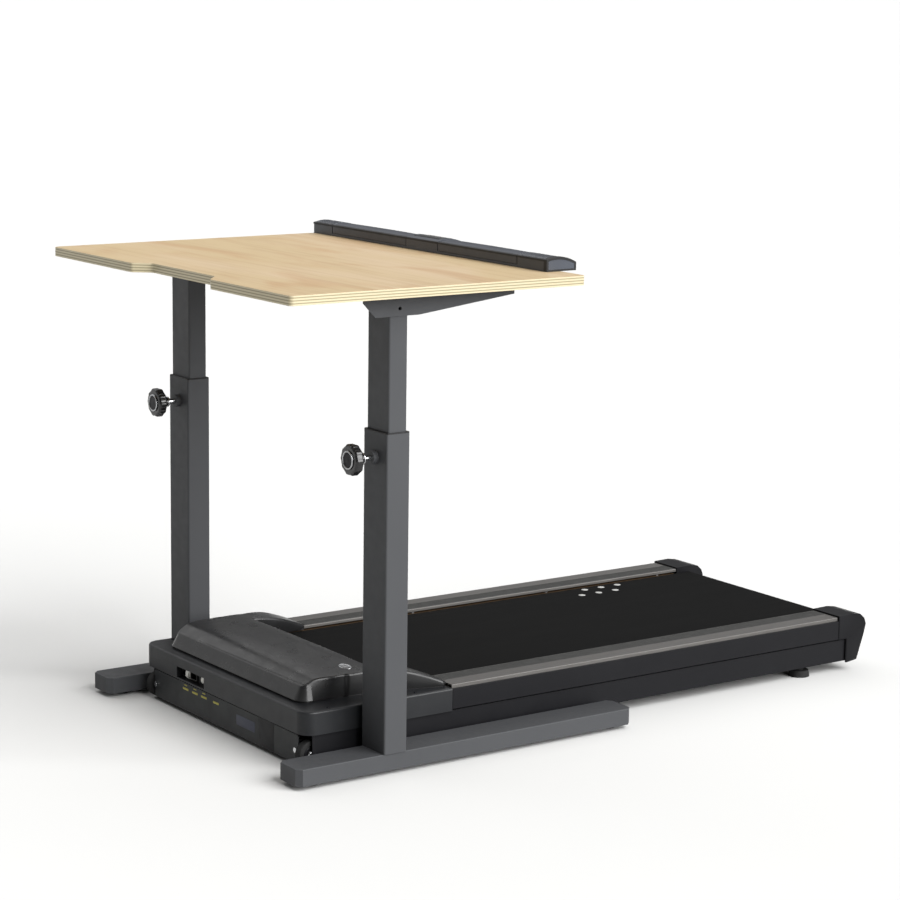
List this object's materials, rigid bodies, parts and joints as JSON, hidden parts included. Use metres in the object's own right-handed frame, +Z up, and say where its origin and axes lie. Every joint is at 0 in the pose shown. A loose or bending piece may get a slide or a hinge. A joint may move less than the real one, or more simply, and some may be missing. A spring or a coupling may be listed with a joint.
{
  "type": "treadmill desk",
  "caption": "Low walking treadmill under a height-adjustable plywood desk with a console bar, lock knobs and transport wheels.",
  "frame": {"origin": "on the floor at the centre of the object's footprint, midway between the desktop's front edge and the rear caps", "axes": "+Z up; +Y along the belt from the motor end to the rear, so the walker faces -Y; +X across, to the right seen from the motor end looking along +Y"},
  "size_m": [1.066, 1.8016, 1.1061],
  "materials": {
    "leg_paint": "satin dark grey powder coat",
    "frame_paint": "black powder coat",
    "cover_plastic": "satin charcoal moulding",
    "rail_aluminium": "satin warm grey",
    "grip_rubber": "ribbed matt",
    "belt_rubber": "fine textured black",
    "foot_rubber": "matt black",
    "deck_wood": "phenolic-faced fibreboard",
    "plywood": "clear-lacquered birch plywood with striped edge",
    "steel": "machined",
    "chrome": "polished",
    "dark_screw": "black oxide",
    "heat_sink": "plain",
    "black_plastic": "matt black",
    "knob_plastic": "glossy black",
    "switch_plastic": "off-white",
    "console_plastic": "blue-grey moulding",
    "armrest_foam": "smooth skinned pad",
    "lens": "dark window",
    "key_rubber": "soft key",
    "start_key": "soft key",
    "stop_key": "soft key"
  },
  "bodies": {
    "base": {"side_beams": "frame_paint", "cross_members": "frame_paint", "deck_board": "deck_wood", "deck_cushions": "foot_rubber", "deck_bolts": "steel", "walking_belt": "belt_rubber", "roller_axles": "steel", "roller_bearings": "steel", "belt_adjusters": "steel", "drive_motor": "frame_paint", "drive_belt": "belt_rubber", "motor_controller": "heat_sink", "front_cover": "cover_plastic", "motor_hood": "cover_plastic", "cover_screws": "dark_screw", "front_panel": "cover_plastic", "grip_strips": "grip_rubber", "side_skirts": "frame_paint", "foot_rail_right": "rail_aluminium", "foot_rail_left": "rail_aluminium", "rear_cap_right": "cover_plastic", "rear_cap_left": "cover_plastic", "io_plate": "cover_plastic", "power_inlet": "black_plastic", "front_bolts": "chrome", "rubber_feet": "foot_rubber", "desk_foot_right": "leg_paint", "desk_foot_left": "leg_paint", "outer_leg_right": "leg_paint", "outer_leg_left": "leg_paint", "leg_bolts": "steel", "leg_bushings": "black_plastic"},
    "desk": {"desktop": "plywood", "upper_legs": "leg_paint", "desk_brackets": "leg_paint", "cross_rails": "leg_paint", "desktop_screws": "dark_screw", "console_base": "console_plastic", "armrest_pads": "armrest_foam", "console_module": "console_plastic", "console_lens": "lens"},
    "front_roller": {"front_roller": "steel"},
    "rear_roller": {"rear_roller": "steel"},
    "motor_rotor": {"motor_rotor": "steel"},
    "wheel_right": {"transport_wheel_right": "foot_rubber"},
    "wheel_left": {"transport_wheel_left": "foot_rubber"},
    "rocker": {"rocker_switch": "switch_plastic"},
    "breaker": {"breaker_button": "switch_plastic"},
    "lock_right": {"lock_knob_right": "knob_plastic", "lock_screw_right": "chrome"},
    "lock_left": {"lock_knob_left": "knob_plastic", "lock_screw_left": "chrome"},
    "leveller_front_right": {"leveller_front_right": "black_plastic"},
    "leveller_front_left": {"leveller_front_left": "black_plastic"},
    "leveller_rear_right": {"leveller_rear_right": "black_plastic"},
    "leveller_rear_left": {"leveller_rear_left": "black_plastic"},
    "speed_down_key": {"speed_down_button": "key_rubber"},
    "stop_key": {"stop_button": "stop_key"},
    "start_key": {"start_button": "start_key"},
    "speed_up_key": {"speed_up_button": "key_rubber"}
  },
  "joints": [
    {"name": "desk_lift", "type": "slide", "parent": "base", "child": "desk", "axis": [0, 0, 1], "range_m": [-0.158, 0.217]},
    {"name": "front_roller_spin", "type": "hinge", "parent": "base", "child": "front_roller", "pos_m": [0, -0.576, 0.104], "axis": [1, 0, 0], "continuous": true},
    {"name": "rear_roller_spin", "type": "hinge", "parent": "base", "child": "rear_roller", "pos_m": [0, 0.844, 0.104], "axis": [1, 0, 0], "continuous": true},
    {"name": "motor_spin", "type": "hinge", "parent": "base", "child": "motor_rotor", "pos_m": [0, -0.663, 0.1], "axis": [1, 0, 0], "continuous": true},
    {"name": "wheel_right_spin", "type": "hinge", "parent": "base", "child": "wheel_right", "pos_m": [0.34, -0.733, 0.035], "axis": [1, 0, 0], "continuous": true},
    {"name": "wheel_left_spin", "type": "hinge", "parent": "base", "child": "wheel_left", "pos_m": [-0.34, -0.733, 0.035], "axis": [1, 0, 0], "continuous": true},
    {"name": "power_switch", "type": "hinge", "parent": "base", "child": "rocker", "pos_m": [-0.176, -0.7425, 0.099], "axis": [1, 0, 0], "range_deg": [0, 20]},
    {"name": "breaker_reset", "type": "slide", "parent": "base", "child": "breaker", "axis": [0, -1, 0], "range_m": [0, 0.003]},
    {"name": "lock_knob_right_turn", "type": "hinge", "parent": "base", "child": "lock_right", "pos_m": [0.431, -0.681, 0.699], "axis": [0, -1, 0], "range_deg": [0, 720]},
    {"name": "lock_knob_left_turn", "type": "hinge", "parent": "base", "child": "lock_left", "pos_m": [-0.431, -0.681, 0.699], "axis": [0, -1, 0], "range_deg": [0, 720]},
    {"name": "leveller_front_right_turn", "type": "hinge", "parent": "base", "child": "leveller_front_right", "pos_m": [0.431, -0.788, 0], "axis": [0, 0, 1], "range_deg": [-360, 360]},
    {"name": "leveller_front_left_turn", "type": "hinge", "parent": "base", "child": "leveller_front_left", "pos_m": [-0.431, -0.788, 0], "axis": [0, 0, 1], "range_deg": [-360, 360]},
    {"name": "leveller_rear_right_turn", "type": "hinge", "parent": "base", "child": "leveller_rear_right", "pos_m": [0.431, 0.022, 0], "axis": [0, 0, 1], "range_deg": [-360, 360]},
    {"name": "leveller_rear_left_turn", "type": "hinge", "parent": "base", "child": "leveller_rear_left", "pos_m": [-0.431, 0.022, 0], "axis": [0, 0, 1], "range_deg": [-360, 360]},
    {"name": "speed_down_press", "type": "slide", "parent": "desk", "child": "speed_down_key", "axis": [0, 0, -1], "range_m": [0, 0.0015], "stiffness_N_per_m": 400, "springref_m": -0.001},
    {"name": "stop_press", "type": "slide", "parent": "desk", "child": "stop_key", "axis": [0, 0, -1], "range_m": [0, 0.0015], "stiffness_N_per_m": 400, "springref_m": -0.001},
    {"name": "start_press", "type": "slide", "parent": "desk", "child": "start_key", "axis": [0, 0, -1], "range_m": [0, 0.0015], "stiffness_N_per_m": 400, "springref_m": -0.001},
    {"name": "speed_up_press", "type": "slide", "parent": "desk", "child": "speed_up_key", "axis": [0, 0, -1], "range_m": [0, 0.0015], "stiffness_N_per_m": 400, "springref_m": -0.001}
  ],
  "couplings": [
    {"joint": "rear_roller_spin", "follows": "front_roller_spin", "ratio": 1},
    {"joint": "motor_spin", "follows": "front_roller_spin", "ratio": 2.2857}
  ]
}
